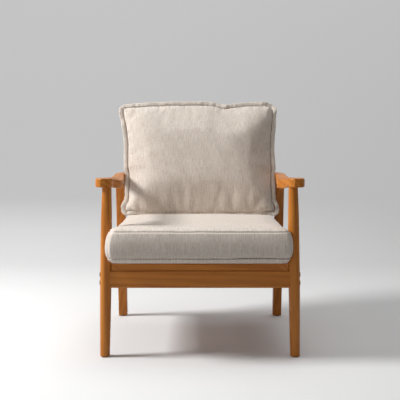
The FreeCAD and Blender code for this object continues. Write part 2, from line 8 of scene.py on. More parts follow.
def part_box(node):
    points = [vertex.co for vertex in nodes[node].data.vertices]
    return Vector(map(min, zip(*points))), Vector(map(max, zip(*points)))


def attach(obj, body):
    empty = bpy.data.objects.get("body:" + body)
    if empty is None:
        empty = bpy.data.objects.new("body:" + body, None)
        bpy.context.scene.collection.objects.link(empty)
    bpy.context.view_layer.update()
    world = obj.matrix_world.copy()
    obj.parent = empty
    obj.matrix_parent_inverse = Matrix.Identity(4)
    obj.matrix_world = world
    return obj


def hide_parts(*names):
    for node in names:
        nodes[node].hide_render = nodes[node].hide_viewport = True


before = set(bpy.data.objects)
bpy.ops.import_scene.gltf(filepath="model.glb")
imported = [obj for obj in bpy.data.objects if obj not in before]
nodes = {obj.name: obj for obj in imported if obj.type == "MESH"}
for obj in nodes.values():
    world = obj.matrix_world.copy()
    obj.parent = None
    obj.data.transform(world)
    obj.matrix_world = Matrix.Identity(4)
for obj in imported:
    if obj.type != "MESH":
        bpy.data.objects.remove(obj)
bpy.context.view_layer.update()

scene = bpy.context.scene

# Camera, a little above the arms, looking level; the frame is shifted down to the feet
IMAGE_PX = 400
FOCAL_PX = 794.4
HORIZON_PX = 138.9
CAMERA_AT = (0.0, -2.8664, 0.7024)
SENSOR_MM = 36
camera_data = bpy.data.cameras.new("camera")
camera = bpy.data.objects.new("camera", camera_data)
scene.collection.objects.link(camera)
camera.location = CAMERA_AT
camera.rotation_euler = (math.radians(90), 0, 0)
camera_data.sensor_width = SENSOR_MM
camera_data.lens = SENSOR_MM * FOCAL_PX / IMAGE_PX
camera_data.shift_y = -(IMAGE_PX / 2 - HORIZON_PX) / IMAGE_PX
scene.camera = camera
scene.view_settings.view_transform = "Standard"


# Materials
def new_material(name):
    material = bpy.data.materials.new(name)
    material.use_nodes = True
    tree = material.node_tree
    tree.nodes.clear()
    output = tree.nodes.new("ShaderNodeOutputMaterial")
    shader = tree.nodes.new("ShaderNodeBsdfPrincipled")
    tree.links.new(shader.outputs["BSDF"], output.inputs["Surface"])
    return material, tree, shader


def add(tree, kind, **values):
    """A node with these settings or, where it has no such setting, socket values."""
    node = tree.nodes.new(kind)
    for name, value in values.items():
        if hasattr(node, name):
            setattr(node, name, value)
        else:
            node.inputs[name.replace("_", " ")].default_value = value
    return node


def ramp(tree, source, stops):
    """A colour for each value of the source, by places and colours."""
    node = tree.nodes.new("ShaderNodeValToRGB")
    elements = node.color_ramp.elements
    while len(elements) < len(stops):
        elements.new(0.5)
    for element, (place, colour) in zip(elements, stops):
        element.position = place
        element.color = (*colour, 1)
    tree.links.new(source, node.inputs["Fac"])
    return node


def grey(value):
    return (value, value, value)


def sum_of(tree, operation, first, second):
    """The result of one arithmetic node; each side is a number or a socket."""
    node = tree.nodes.new("ShaderNodeMath")
    node.operation = operation
    for index, value in enumerate((first, second)):
        if isinstance(value, (int, float)):
            node.inputs[index].default_value = value
        else:
            tree.links.new(value, node.inputs[index])
    return node.outputs[0]


def mixed(tree, blend, factor, first, second):
    """Two colours mixed; each is a colour or a socket."""
    node = tree.nodes.new("ShaderNodeMix")
    node.data_type = "RGBA"
    node.blend_type = blend
    for socket, value in ((node.inputs[0], factor), (node.inputs[6], first), (node.inputs[7], second)):
        if isinstance(value, (int, float)):
            socket.default_value = value
        elif isinstance(value, tuple):
            socket.default_value = (*value, 1)
        else:
            tree.links.new(value, socket)
    return node.outputs[2]


def mix_value(tree, factor, first, second):
    """Two values mixed; all three are sockets."""
    node = tree.nodes.new("ShaderNodeMix")
    node.data_type = "FLOAT"
    for socket, value in ((node.inputs[0], factor), (node.inputs[2], first), (node.inputs[3], second)):
        tree.links.new(value, socket)
    return node.outputs[0]


# Wood: the grain and the pores are drawn out along one axis
GRAIN_SCALE = {"X": (0.9, 26, 26), "Y": (26, 0.9, 26), "Z": (26, 26, 0.9)}
PORE_SCALE = {"X": (14, 900, 900), "Y": (900, 14, 900), "Z": (900, 900, 14)}
WOOD_DARK = (0.450, 0.140, 0.011)
WOOD_MID = (0.530, 0.174, 0.016)
WOOD_LIGHT = (0.600, 0.215, 0.025)
FIGURE_SHARE = 0.72
RING_SHARE = 0.28
PORE_SHARE = 0.45


def wood_material(name, along, seed):
    """Lacquered walnut-coloured wood with its grain along one axis."""
    material, tree, shader = new_material(name)
    place = tree.nodes.new("ShaderNodeTexCoord").outputs["Object"]
    shift = add(tree, "ShaderNodeMapping")
    shift.inputs["Location"].default_value = (seed * 0.37, seed * 0.61, seed * 0.23)
    shift.inputs["Scale"].default_value = GRAIN_SCALE[along]
    tree.links.new(place, shift.inputs["Vector"])
    figure = add(tree, "ShaderNodeTexNoise", Scale=2.2, Detail=5.0, Roughness=0.55, Distortion=0.9)
    tree.links.new(shift.outputs[0], figure.inputs["Vector"])
    rings = add(tree, "ShaderNodeTexWave", Scale=1.1, Distortion=5.0, Detail=3.0)
    rings.inputs["Detail Scale"].default_value = 1.2
    rings.bands_direction = "DIAGONAL"
    tree.links.new(shift.outputs[0], rings.inputs["Vector"])
    streaks = add(tree, "ShaderNodeMapping")
    streaks.inputs["Scale"].default_value = PORE_SCALE[along]
    streaks.inputs["Location"].default_value = (seed * 1.7, seed, seed * 0.9)
    tree.links.new(place, streaks.inputs["Vector"])
    pores = add(tree, "ShaderNodeTexNoise", Scale=1.0, Detail=3.0, Roughness=0.6)
    tree.links.new(streaks.outputs[0], pores.inputs["Vector"])
    mix = sum_of(tree, "MULTIPLY", figure.outputs[0], FIGURE_SHARE)
    mix = sum_of(tree, "ADD", mix, sum_of(tree, "MULTIPLY", rings.outputs[1], RING_SHARE))
    colour = ramp(tree, mix, [(0.30, WOOD_DARK), (0.47, WOOD_MID), (0.72, WOOD_LIGHT)])
    pore_dark = ramp(tree, pores.outputs[0], [(0.33, grey(0.66)), (0.52, grey(1.0))])
    base = mixed(tree, "MULTIPLY", PORE_SHARE, colour.outputs[0], pore_dark.outputs[0])
    tree.links.new(base, shader.inputs["Base Color"])
    rough = ramp(tree, pores.outputs[0], [(0.2, grey(0.46)), (0.8, grey(0.36))])
    tree.links.new(rough.outputs[0], shader.inputs["Roughness"])
    shader.inputs["Coat Weight"].default_value = 0.08
    shader.inputs["Specular IOR Level"].default_value = 0.35
    shader.inputs["Coat Roughness"].default_value = 0.28
    bump = add(tree, "ShaderNodeBump", Strength=0.25, Distance=0.0003)
    tree.links.new(pores.outputs[0], bump.inputs["Height"])
    tree.links.new(bump.outputs[0], shader.inputs["Normal"])
    return material


def dress(name, material):
    """Give a node this material in every slot."""
    mesh = nodes[name].data
    if not mesh.materials:
        mesh.materials.append(material)
    for index in range(len(mesh.materials)):
        mesh.materials[index] = material


def grain_of(name):
    """The grain runs along the piece's longest side."""
    low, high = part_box(name)
    sides = [high[axis] - low[axis] for axis in range(3)]
    return "XYZ"[sides.index(max(sides))]


# Bolts: dull bronze, a little worn
BRONZE_DARK = (0.20, 0.085, 0.030)
BRONZE_LIGHT = (0.34, 0.145, 0.050)


def metal_material():
    material, tree, shader = new_material("bronze_caps")
    place = tree.nodes.new("ShaderNodeTexCoord").outputs["Object"]
    wear = add(tree, "ShaderNodeTexNoise", Scale=260.0, Detail=4.0)
    tree.links.new(place, wear.inputs["Vector"])
    colour = ramp(tree, wear.outputs[0], [(0.35, BRONZE_DARK), (0.75, BRONZE_LIGHT)])
    tree.links.new(colour.outputs[0], shader.inputs["Base Color"])
    shader.inputs["Metallic"].default_value = 0.8
    rough = ramp(tree, wear.outputs[0], [(0.3, grey(0.34)), (0.8, grey(0.48))])
    tree.links.new(rough.outputs[0], shader.inputs["Roughness"])
    return material


def plastic_material():
    """Nearly black plastic of the glides."""
    material, tree, shader = new_material("dark_glides")
    place = tree.nodes.new("ShaderNodeTexCoord").outputs["Object"]
    specks = add(tree, "ShaderNodeTexNoise", Scale=900.0, Detail=2.0)
    tree.links.new(place, specks.inputs["Vector"])
    colour = ramp(tree, specks.outputs[0], [(0.3, grey(0.012)), (0.8, grey(0.03))])
    tree.links.new(colour.outputs[0], shader.inputs["Base Color"])
    shader.inputs["Roughness"].default_value = 0.6
    bump = add(tree, "ShaderNodeBump", Strength=0.2, Distance=0.0002)
    tree.links.new(specks.outputs[0], bump.inputs["Height"])
    tree.links.new(bump.outputs[0], shader.inputs["Normal"])
    return material


bronze = metal_material()
glide_plastic = plastic_material()
for seed, name in enumerate(sorted(nodes), start=1):
    if "bolt" in name:
        dress(name, bronze)
    elif "glide" in name:
        dress(name, glide_plastic)
    elif "cushion" not in name:
        dress(name, wood_material("wood_" + name, grain_of(name), seed))


# Cloth: an oatmeal plain weave with uneven warp threads
CLOTH_DARK = (0.52, 0.435, 0.36)
CLOTH_MID = (0.66, 0.58, 0.505)
CLOTH_LIGHT = (0.77, 0.71, 0.645)
THREADS_PER_M = 620
# Cells of noise per metre, across the cloth and along it, for the warp, the weft and the knots
WARP_CELLS = (THREADS_PER_M * 0.55, 26.0)
WEFT_CELLS = (60.0, THREADS_PER_M * 0.6)
KNOT_CELLS = (330.0, 95.0)
WARP_SHARE = 0.5
WEFT_SHARE = 0.18
KNOT_SHARE = 0.32
SIDE_FACING = 0.72


def woven_noise(tree, across, along, cells, detail, roughness):
    """Noise with so many cells per metre across the cloth and along it."""
    spot = tree.nodes.new("ShaderNodeCombineXYZ")
    tree.links.new(sum_of(tree, "MULTIPLY", across, cells[0]), spot.inputs[0])
    tree.links.new(sum_of(tree, "MULTIPLY", along, cells[1]), spot.inputs[1])
    pattern = add(tree, "ShaderNodeTexNoise", Scale=1.0, Detail=detail, Roughness=roughness)
    tree.links.new(spot.outputs[0], pattern.inputs["Vector"])
    return pattern.outputs[0]


def cloth_material(name):
    material, tree, shader = new_material(name)
    place = tree.nodes.new("ShaderNodeTexCoord").outputs["Object"]
    split = tree.nodes.new("ShaderNodeSeparateXYZ")
    tree.links.new(place, split.inputs[0])
    facing = tree.nodes.new("ShaderNodeSeparateXYZ")
    tree.links.new(tree.nodes.new("ShaderNodeNewGeometry").outputs["Normal"], facing.inputs[0])
    side = sum_of(tree, "GREATER_THAN", sum_of(tree, "ABSOLUTE", facing.outputs[0], 0), SIDE_FACING)
    # Across the cloth: X, or Y on the side faces. Along it: Y and Z together, or Z on the side faces
    across = mix_value(tree, side, split.outputs[0], split.outputs[1])
    run = sum_of(tree, "ADD", split.outputs[1], split.outputs[2])
    along = mix_value(tree, side, run, split.outputs[2])
    warp = woven_noise(tree, across, along, WARP_CELLS, 3.0, 0.65)
    weft = woven_noise(tree, across, along, WEFT_CELLS, 2.0, 0.6)
    knots = woven_noise(tree, across, along, KNOT_CELLS, 4.0, 0.7)
    threads = sum_of(tree, "ADD", sum_of(tree, "MULTIPLY", warp, WARP_SHARE),
                     sum_of(tree, "MULTIPLY", weft, WEFT_SHARE))
    threads = sum_of(tree, "ADD", threads, sum_of(tree, "MULTIPLY", knots, KNOT_SHARE))
    colour = ramp(tree, threads, [(0.36, CLOTH_DARK), (0.48, CLOTH_MID), (0.62, CLOTH_LIGHT)])
    tree.links.new(colour.outputs[0], shader.inputs["Base Color"])
    shader.inputs["Roughness"].default_value = 0.9
    shader.inputs["Sheen Weight"].default_value = 0.25
    shader.inputs["Sheen Roughness"].default_value = 0.5
    shader.inputs["Specular IOR Level"].default_value = 0.2
    bump = add(tree, "ShaderNodeBump", Strength=0.7, Distance=0.0012)
    tree.links.new(threads, bump.inputs["Height"])
    tree.links.new(bump.outputs[0], shader.inputs["Normal"])
    return material


cloth = cloth_material("oatmeal_cloth")


# Mesh helpers; lengths in metres
SPLINE_STEPS = 24
# How a cushion is blown up: pressure, spare length, steps of time, rounds of smoothing and their share
PRESSURE = 4.0
SPARE_CLOTH = 0.015
INFLATE_FRAMES = 12
LOOSEN_ROUNDS = 7
LOOSEN_SHARE = 0.6
# Puckers beside a seam: slow and quick waves per metre, and the share of the quick ones
SLOW_WAVES = 55
QUICK_WAVES = 120
QUICK_SHARE = 0.6


def mesh_object(name, verts, faces, material):
    mesh = bpy.data.meshes.new(name)
    mesh.from_pydata(verts, [], faces)
    mesh.shade_smooth()
    mesh.materials.append(material)
    item = bpy.data.objects.new(name, mesh)
    scene.collection.objects.link(item)
    return item


def apply_modifiers(item):
    """The mesh as its modifiers leave it takes the place of the first one."""
    view = bpy.context.evaluated_depsgraph_get()
    mesh = bpy.data.meshes.new_from_object(item.evaluated_get(view))
    old = item.data
    item.modifiers.clear()
    item.data = mesh
    bpy.data.meshes.remove(old)
    mesh.shade_smooth()


def loft(rings):
    """Rings joined by four-sided faces, closed at both ends by a fan."""
    count = len(rings[0])
    verts = [point for ring in rings for point in ring]
    faces = []
    for row in range(len(rings) - 1):
        for index in range(count):
            after = (index + 1) % count
            faces.append((row * count + index, row * count + after,
                          (row + 1) * count + after, (row + 1) * count + index))
    for row, flip in ((0, True), (len(rings) - 1, False)):
        middle = sum((Vector(point) for point in rings[row]), Vector()) / count
        verts.append(tuple(middle))
        for index in range(count):
            first, second = row * count + index, row * count + (index + 1) % count
            faces.append((second, first, len(verts) - 1) if flip else (first, second, len(verts) - 1))
    return verts, faces


def spline_loop(points, count):
    """Evenly spaced points on a smooth closed curve through the given ones."""
    fine = []
    total = len(points)
    for index in range(total):
        a, b, c, d = (Vector(points[(index + k) % total]) for k in (-1, 0, 1, 2))
        for step in range(SPLINE_STEPS):
            t = step / SPLINE_STEPS
            fine.append(0.5 * (2 * b + (c - a) * t + (2 * a - 5 * b + 4 * c - d) * t * t
                               + (3 * b - a - 3 * c + d) * t * t * t))
    lengths = [0.0]
    for index in range(len(fine)):
        lengths.append(lengths[-1] + (fine[(index + 1) % len(fine)] - fine[index]).length)
    loop = []
    at = 0
    for index in range(count):
        want = lengths[-1] * index / count
        while lengths[at + 1] < want:
            at += 1
        part = (want - lengths[at]) / (lengths[at + 1] - lengths[at])
        loop.append(fine[at].lerp(fine[(at + 1) % len(fine)], part))
    return loop


def finer(rings):
    """One more ring between each two, on a smooth curve through them."""
    result = [rings[0]]
    for index in range(len(rings) - 1):
        before, first, second = rings[max(index - 1, 0)], rings[index], rings[index + 1]
        after = rings[min(index + 2, len(rings) - 1)]
        result.append(tuple((9 * (b + c) - a - d) / 16 for a, b, c, d in zip(before, first, second, after)))
        result.append(second)
    return result


def remesh(item, voxel):
    """The same form in evenly sized faces."""
    modifier = item.modifiers.new("remesh", "REMESH")
    modifier.mode = "VOXEL"
    modifier.voxel_size = voxel
    apply_modifiers(item)


def loosen(mesh, hold):
    """Even out the small creases, the less the firmer a point is held."""
    beside = [[] for vert in mesh.vertices]
    for edge in mesh.edges:
        first, second = edge.vertices
        beside[first].append(second)
        beside[second].append(first)
    free = [1 - min(hold(vert.co), 1.0) for vert in mesh.vertices]
    places = [vert.co.copy() for vert in mesh.vertices]
    for _ in range(LOOSEN_ROUNDS):
        middles = [sum((places[other] for other in near), Vector()) / len(near) for near in beside]
        places = [place.lerp(middle, LOOSEN_SHARE * part)
                  for place, middle, part in zip(places, middles, free)]
    for vert, place in zip(mesh.vertices, places):
        vert.co = place


def inflate(item, hold, cap):
    """Swell a closed cloth form; hold(point) is how firmly a point stays, cap(point) how far it goes."""
    mesh = item.data
    start = [vert.co.copy() for vert in mesh.vertices]
    group = item.vertex_groups.new(name="held")
    for index, point in enumerate(start):
        weight = hold(point)
        if weight > 0.01:
            group.add([index], min(weight, 1.0), "REPLACE")
    modifier = item.modifiers.new("cloth", "CLOTH")
    settings = modifier.settings
    settings.quality = 4
    settings.mass = 0.25
    settings.tension_stiffness = 12
    settings.compression_stiffness = 8
    settings.shear_stiffness = 4
    settings.bending_stiffness = 0.4
    settings.shrink_min = -SPARE_CLOTH
    settings.use_pressure = True
    settings.uniform_pressure_force = PRESSURE
    settings.vertex_group_mass = "held"
    settings.effector_weights.gravity = 0.0
    modifier.collision_settings.use_collision = False
    modifier.point_cache.frame_start = 1
    modifier.point_cache.frame_end = INFLATE_FRAMES
    for frame_number in range(1, INFLATE_FRAMES + 1):
        scene.frame_set(frame_number)
    view = bpy.context.evaluated_depsgraph_get()
    moved = [vert.co.copy() for vert in item.evaluated_get(view).data.vertices]
    item.modifiers.clear()
    item.vertex_groups.clear()
    scene.frame_set(1)
    for vert, before, after in zip(mesh.vertices, start, moved):
        step = after - before
        most = cap(before)
        if step.length > most:
            step *= most / step.length
        vert.co = before + step
    loosen(mesh, hold)


def subdivide(item):
    """Four smooth faces in the place of each."""
    modifier = item.modifiers.new("fine", "SUBSURF")
    modifier.levels = 1
    modifier.render_levels = 1
    apply_modifiers(item)


def tree_of(points):
    """A search tree that finds the nearest of the points."""
    tree = KDTree(len(points))
    for index, point in enumerate(points):
        tree.insert(point, index)
    tree.balance()
    return tree


def smooth_step(value):
    """From 0 to 1 without a kink, and level outside."""
    value = max(0.0, min(1.0, value))
    return value * value * (3 - 2 * value)


def press_seam(item, seam_points, depth, width, pucker, reach):
    """Draw the cloth in along a seam, with small puckers that fade away from it."""
    tree = tree_of(seam_points)
    mesh = item.data
    mesh.update()
    normals = [vert.normal.copy() for vert in mesh.vertices]
    for vert, normal in zip(mesh.vertices, normals):
        near, _, distance = tree.find(vert.co)
        shift = 0.0
        if distance < width:
            shift -= depth * (1 - smooth_step(distance / width))
        if distance < reach:
            fade = 1 - smooth_step(distance / reach)
            wave = noise.noise(Vector(near) * SLOW_WAVES)
            wave += QUICK_SHARE * noise.noise(Vector(near) * QUICK_WAVES)
            shift += pucker * fade * wave * smooth_step(distance / (0.35 * reach) + 0.15)
        vert.co += normal * shift


# Seat cushion: a boxed cushion with a seam above and below its band.
# Its outline from above runs along the front to the right ear, the right side and the rear
SEAT_FRONT = -0.3735
SEAT_REAR = 0.2195
SEAT_HALF = 0.2800
SEAT_EAR = 0.2898
SEAT_LOOP = [
    (-0.266, SEAT_FRONT + 0.0015), (-0.140, SEAT_FRONT), (0.0, SEAT_FRONT), (0.140, SEAT_FRONT),
    (0.266, SEAT_FRONT + 0.0015), (0.2820, SEAT_FRONT + 0.008), (0.2882, SEAT_FRONT + 0.020),
    (SEAT_EAR, SEAT_FRONT + 0.033), (0.2880, SEAT_FRONT + 0.044), (0.2830, SEAT_FRONT + 0.060),
    (SEAT_HALF, SEAT_FRONT + 0.085), (0.2795, -0.20), (0.2795, -0.05), (0.2795, 0.10), (0.2770, 0.19),
    (0.270, SEAT_REAR - 0.006), (0.250, SEAT_REAR), (0.0, SEAT_REAR + 0.001),
]
SEAT_LOOP += [(-x, y) for x, y in reversed(SEAT_LOOP[5:17])]
# The left ear stands out a little more than the right one
LEFT_EAR_EXTRA = 0.0050
SEAT_LOOP = [(x - LEFT_EAR_EXTRA if x < -0.2825 and y < -0.32 else x, y) for x, y in SEAT_LOOP]
# Rings from the underside to the top: how far in from the outline, and height
SEAT_LOW_SEAM = (0.0030, 0.3220)
SEAT_TOP_SEAM = (0.0055, 0.4093)
SEAT_UNDERSIDE = 0.3006
SEAT_CROWN = 0.4250
SEAT_CROWN_RISE = 0.0025
SEAT_RINGS = [(inset / 1000, SEAT_UNDERSIDE) for inset in range(215, 30, -20)]
SEAT_RINGS += [
    (0.0280, 0.3008), (0.0190, 0.3018), (0.0115, 0.3042), (0.0065, 0.3080), (0.0030, 0.3130),
    (0.0016, 0.3170), (0.0018, 0.3196), SEAT_LOW_SEAM, (0.0014, 0.3246), (-0.0012, 0.3310), (-0.0032, 0.3370),
    (-0.0045, 0.3430), (-0.0052, 0.3500), (-0.0055, 0.3570), (-0.0054, 0.3640), (-0.0050, 0.3710),
    (-0.0042, 0.3780), (-0.0030, 0.3850), (-0.0014, 0.3920), (0.0004, 0.3980), (0.0022, 0.4030),
    (0.0040, 0.4065), SEAT_TOP_SEAM, (0.0075, 0.4112), (0.0110, 0.4136), (0.0160, 0.4160),
    (0.0230, 0.4184), (0.0310, 0.4205), (0.0400, 0.4223), (0.0500, 0.4238), (0.0620, 0.4250),
]
# The top rises a little more from this inset to the middle, in millimetres
CROWN_FROM_MM = 62
CROWN_SPAN_MM = 208
SEAT_RINGS += [
    (inset / 1000, SEAT_CROWN + SEAT_CROWN_RISE * (inset - CROWN_FROM_MM) / CROWN_SPAN_MM)
    for inset in range(75, 225, 15)
]
SEAT_POINTS = 500
seat_loop = spline_loop([(x, y, 0.0) for x, y in SEAT_LOOP], SEAT_POINTS)
seat_middle = Vector((0.0, (SEAT_FRONT + SEAT_REAR) / 2, 0.0))
# A ring shrinks towards the middle by its inset's share of this width and depth
SEAT_SHRINK_X = 0.290
SEAT_SHRINK_Y = 0.297
# The hem is drawn up along the front edge, by this much below this height
HEM_LIFT = 0.009
HEM_TOP = 0.33


def seat_ring(inset, height):
    ring = []
    for point in seat_loop:
        away = point - seat_middle
        x = away.x * (1 - inset / SEAT_SHRINK_X)
        y = away.y * (1 - inset / SEAT_SHRINK_Y)
        spot = seat_middle + Vector((x, y, 0.0))
        rise = 0.0
        if height < HEM_TOP:
            front = smooth_step((SEAT_FRONT + 0.075 - spot.y) / 0.07)
            rise = HEM_LIFT * front * smooth_step((HEM_TOP - height) / 0.02)
        ring.append((spot.x, spot.y, height + rise))
    return ring


verts, faces = loft([seat_ring(inset, height) for inset, height in finer(SEAT_RINGS)])
seat = mesh_object("seat_cushion_cloth", verts, faces, cloth)
seat_top_seam = [Vector(point) for point in seat_ring(*SEAT_TOP_SEAM)]
seat_low_seam = [Vector(point) for point in seat_ring(*SEAT_LOW_SEAM)]
# Room for the cushion: its ears in front of the legs, its sides between them, and its height
LEG_Y = -0.3005
EAR_REAR_Y = LEG_Y - 0.022
LEFT_EAR_X = 0.3035
RIGHT_EAR_X = 0.2975
BETWEEN_LEGS_X = 0.2834
SEAT_FRONT_Y = SEAT_FRONT - 0.0065
FRAME_TOP = 0.3004
SEAT_TOP = 0.4285
# Under the back cushion it is pressed down by this much, from this depth on
PRESSED_BY = 0.0135
PRESSED_Y = 0.095
PRESSED_FADE = 0.06


def seat_limits(item):
    """Keep the cushion clear of the legs, also while it is pulled out, the frame and the back cushion."""
    for vert in item.data.vertices:
        co = vert.co
        ear = LEFT_EAR_X if co.x < 0 else RIGHT_EAR_X
        limit = ear if co.y < EAR_REAR_Y else BETWEEN_LEGS_X
        if abs(co.x) > limit:
            co.x = math.copysign(limit, co.x)
        co.y = max(co.y, SEAT_FRONT_Y)
        co.z = max(co.z, FRAME_TOP)
        ceiling = SEAT_TOP - PRESSED_BY * smooth_step((co.y - PRESSED_Y + PRESSED_FADE) / PRESSED_FADE)
        co.z = min(co.z, ceiling)


# The filling is not even: slow and quick swells, more of them on the top, and puckers at the seams
SEAT_FACE = 0.412
SLOW_SWELL = 0.0022
QUICK_SWELL = 0.0010
FACE_SHARE = 0.8
FACE_SWELL = 0.0014
seat.data.update()
for vert in seat.data.vertices:
    co = vert.co
    swell = noise.noise(Vector((co.x * 6, co.y * 7, co.z * 8))) * SLOW_SWELL
    swell += noise.noise(Vector((co.x * 15, co.y * 14, co.z * 16 + 4))) * QUICK_SWELL
    free = smooth_step((co.z - 0.303) / 0.02)
    if co.z > SEAT_FACE:
        co.z += swell * FACE_SHARE
    else:
        co += vert.normal * swell * free
    if co.z > SEAT_FACE:
        co.z += noise.noise(Vector((co.x * 9 + 5, co.y * 5, 2.0))) * FACE_SWELL
press_seam(seat, seat_top_seam, depth=0.0034, width=0.0050, pucker=0.0009, reach=0.026)
press_seam(seat, seat_low_seam, depth=0.0022, width=0.0044, pucker=0.0009, reach=0.020)
seat_limits(seat)
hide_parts("seat_cushion_cover", "seat_cushion_foam")
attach(seat, "seat_cushion")

# Back cushion: its places are given across, up the lean and back square to the lean
LEAN = math.radians(13)
LEAN_FROM = Vector((0.0, 0.18947, 0.22438))
LEAN_UP = Vector((0.0, math.sin(LEAN), math.cos(LEAN)))
LEAN_BACK = Vector((0.0, math.cos(LEAN), -math.sin(LEAN)))
# The underside stands at this height and falls at its two sides, outside this half width
REST_Z = 0.4150
SIDE_FALL = 0.0055
SIDE_FALL_FROM = 0.255
SIDE_FALL_WIDTH = 0.02
BORDER_BACK = -0.0915
# The border's outline, across and up the lean
BORDER_LOOP = [
    (-0.255, 0.1740), (-0.281, 0.1715), (-0.2965, 0.1840), (-0.3005, 0.2040), (-0.2950, 0.2200),
    (-0.2875, 0.2380), (-0.2865, 0.2900), (-0.2870, 0.3300), (-0.2915, 0.3530), (-0.2935, 0.4000),
    (-0.2935, 0.4450), (-0.3000, 0.5000), (-0.3090, 0.5450), (-0.3145, 0.5750), (-0.3125, 0.5940),
    (-0.3010, 0.6060), (-0.2820, 0.6100), (-0.2000, 0.6150), (-0.1000, 0.6190), (0.0000, 0.6195),
    (0.0500, 0.6170), (0.0780, 0.6105), (0.0950, 0.6060), (0.1120, 0.6085), (0.1500, 0.6135),
    (0.2000, 0.6170), (0.2420, 0.6175), (0.2700, 0.6140), (0.2900, 0.6030), (0.3000, 0.5800),
    (0.2985, 0.5600), (0.2920, 0.5000), (0.2870, 0.4450), (0.2875, 0.4000), (0.2895, 0.3560),
    (0.2870, 0.3300), (0.2870, 0.2900), (0.2880, 0.2380), (0.2940, 0.2220), (0.2990, 0.2040),
    (0.2965, 0.1840), (0.2860, 0.1715), (0.2600, 0.1740), (0.1500, 0.1740), (0.0000, 0.1740),
    (-0.1500, 0.1740),
]
BORDER_POINTS = 900
border_loop = spline_loop([(x, up, 0.0) for x, up in BORDER_LOOP], BORDER_POINTS)
BORDER_MIDDLE = Vector((-0.004, 0.396, 0.0))


def leaning(across, up, back):
    """The point in space."""
    return LEAN_FROM + Vector((across, 0, 0)) + LEAN_UP * up + LEAN_BACK * back


def underside(across):
    """The lowest height of the cushion, which follows the top of the seat cushion."""
    return REST_Z - SIDE_FALL * smooth_step((abs(across) - SIDE_FALL_FROM) / SIDE_FALL_WIDTH)


def resting_rise(back, across=0.0):
    """How far up the lean the cushion's underside starts."""
    return (underside(across) - LEAN_FROM.z + back * math.sin(LEAN)) / math.cos(LEAN)


def border_normals():
    """Directions out of the border's outline, one for each point."""
    count = len(border_loop)
    result = []
    for index in range(count):
        along = border_loop[(index + 4) % count] - border_loop[index - 4]
        result.append(Vector((along.y, -along.x, 0.0)).normalized() * -1)
    if (border_loop[0] + result[0] - BORDER_MIDDLE).length < (border_loop[0] - BORDER_MIDDLE).length:
        result = [-one for one in result]
    return result


outward = border_normals()
RING_STEP = 2
# The belly hangs over the lower edge: its top, its half width and how it fades at both
BELLY_TOP = 0.225
BELLY_TOP_FADE = 0.04
BELLY_HALF_WIDTH = 0.268
BELLY_SIDE_FADE = 0.03
# A ring keeps its distance from the outline up to this inset, and beyond it shrinks to the middle
SQUARE_INSET = 0.03
SHRINK_FROM = 0.02
BACK_SHRINK_X = 0.275
BACK_SHRINK_UP = 0.2
REST_GAP = 0.0004


def back_ring(inset, back, belly_inset=None):
    ring = []
    for index in range(0, len(border_loop), RING_STEP):
        point = border_loop[index]
        belly = smooth_step((BELLY_TOP - point.y) / BELLY_TOP_FADE)
        belly *= smooth_step((BELLY_HALF_WIDTH - abs(point.x)) / BELLY_SIDE_FADE)
        here = inset if belly_inset is None else inset + (belly_inset - inset) * belly
        if here <= SQUARE_INSET:
            spot = point - outward[index] * here
        else:
            away = point - outward[index] * SHRINK_FROM - BORDER_MIDDLE
            shrink = here - SHRINK_FROM
            x = away.x * (1 - shrink / BACK_SHRINK_X)
            up = away.y * (1 - shrink / BACK_SHRINK_UP)
            spot = BORDER_MIDDLE + Vector((x, up, 0.0))
        up = max(spot.y, resting_rise(back, spot.x) + REST_GAP)
        ring.append(tuple(leaning(spot.x, up, back)))
    return ring


# Rings from the front to the rear: how far in from the outline, how far back,
# and how far in at the belly where that differs
BORDER_INSET = 0.0155
REAR_SEAM = (0.0180, 0.0060)
BACK_RINGS = [
    (0.200, -0.1320, 0.190), (0.150, -0.1300, 0.142), (0.100, -0.1250, 0.098), (0.065, -0.1175, 0.062),
    (0.042, -0.1095, 0.038), (0.028, -0.1030, 0.018), (0.020, -0.0978, 0.008), (BORDER_INSET, -0.0930),
    (0.0150, -0.0880), (0.0130, -0.0780), (0.0110, -0.0560), (0.0110, -0.0200), (0.0150, 0.0000),
    (0.0230, 0.0120), (0.0400, 0.0195), (0.070, 0.0228), (0.120, 0.0232), (0.200, 0.0232),
]
CLOTH_VOXEL = 0.006
verts, faces = loft([back_ring(*ring) for ring in BACK_RINGS])
cushion = mesh_object("back_cushion_cloth", verts, faces, cloth)
border_seam = [Vector(point) for point in back_ring(BORDER_INSET, BORDER_BACK)]
rear_seam = [Vector(point) for point in back_ring(*REAR_SEAM)]
back_seams = tree_of(border_seam + rear_seam)
remesh(cushion, CLOTH_VOXEL)
# The cloth is held at its seams, on the seat cushion and against the back frame
SEAM_FIRM = 0.003
SEAM_FADE = 0.016
REST_FIRM = 0.004
REAR_FIRM = 0.0215
# It swells by this much near the seams, and by this much more at this distance from them
NEAR_SWELL = 0.007
FAR_SWELL = 0.004
FAR_DISTANCE = 0.17


def back_place(point):
    """How far up the lean and how far back a point is."""
    away = point - LEAN_FROM
    return away.dot(LEAN_UP), away.dot(LEAN_BACK)


def back_hold(point):
    """How firmly a point stays, from 0 to 1."""
    distance = back_seams.find(point)[2]
    weight = 1 - smooth_step((distance - SEAM_FIRM) / SEAM_FADE)
    up, back = back_place(point)
    if up < resting_rise(back) + REST_FIRM or back > REAR_FIRM:
        weight = 1.0
    return weight


def back_cap(point):
    """The cushion swells more, the farther a point is from its seams."""
    return NEAR_SWELL + FAR_SWELL * smooth_step(back_seams.find(point)[2] / FAR_DISTANCE)


